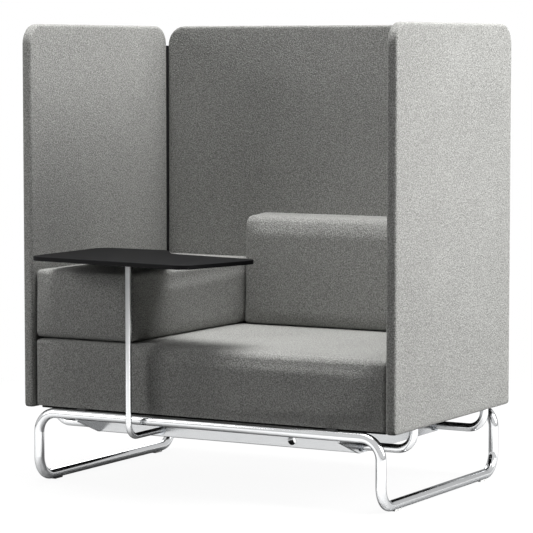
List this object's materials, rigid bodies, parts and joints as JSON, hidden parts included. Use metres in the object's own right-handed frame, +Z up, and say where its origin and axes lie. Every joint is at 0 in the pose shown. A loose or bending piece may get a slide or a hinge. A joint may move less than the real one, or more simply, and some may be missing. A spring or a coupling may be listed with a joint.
{
  "type": "tablet arm chair",
  "caption": "High-sided upholstered armchair with a wide arm block on a bright tube sled base, and a swivelling writing tablet on its own post.",
  "frame": {"origin": "on the floor, under the middle of the whole chair with its tablet in the pictured place", "axes": "+Z up, +X to the right as seen from the front, +Y from the front of the chair to its back"},
  "size_m": [1.236, 0.9828, 1.36],
  "materials": {
    "polished_steel": "polished",
    "zinc_steel": "satin",
    "black_metal": "satin",
    "grey_wool": "matte",
    "board": "matte",
    "black_board": "matte",
    "black_laminate": "satin",
    "black_plastic": "matte",
    "pale_plastic": "satin",
    "black_rubber": "matte"
  },
  "bodies": {
    "chair": {"front_frame_tube": "polished_steel", "rear_frame_tube": "polished_steel", "runner_spigots": "zinc_steel", "spigot_screws": "zinc_steel", "floor_glides": "pale_plastic", "left_side_beam": "polished_steel", "right_side_beam": "polished_steel", "front_cross_beam": "polished_steel", "rear_cross_beam": "polished_steel", "socket_sleeves": "polished_steel", "left_panel_posts": "polished_steel", "right_panel_posts": "polished_steel", "post_collars": "zinc_steel", "post_shims": "black_plastic", "post_screws": "zinc_steel", "left_panel_board": "board", "left_panel_cover": "grey_wool", "right_panel_board": "board", "right_panel_cover": "grey_wool", "back_panel_board": "board", "back_panel_cover": "grey_wool", "left_corner_angle": "black_metal", "right_corner_angle": "black_metal", "corner_screws": "zinc_steel", "seat_pads": "black_rubber", "seat_brackets": "zinc_steel", "seat_bolts": "zinc_steel", "seat_board": "black_board", "seat_battens": "black_board", "seat_cushion": "grey_wool", "arm_frame": "board", "arm_cushion": "grey_wool", "backrest_board": "board", "backrest_cushion": "grey_wool", "block_pins": "zinc_steel", "table_arm": "polished_steel", "arm_socket_bush": "zinc_steel", "arm_set_screw": "zinc_steel", "arm_end_plug": "black_plastic", "swivel_bush": "black_plastic"},
    "tablet": {"tablet_top": "black_laminate", "tablet_flange": "black_metal", "tablet_screws": "zinc_steel"}
  },
  "joints": [
    {"name": "tablet_swivel", "type": "hinge", "parent": "chair", "child": "tablet", "pos_m": [-0.22, -0.35755, 0.66725], "axis": [0, 0, 1], "range_deg": [-205, 12]}
  ]
}
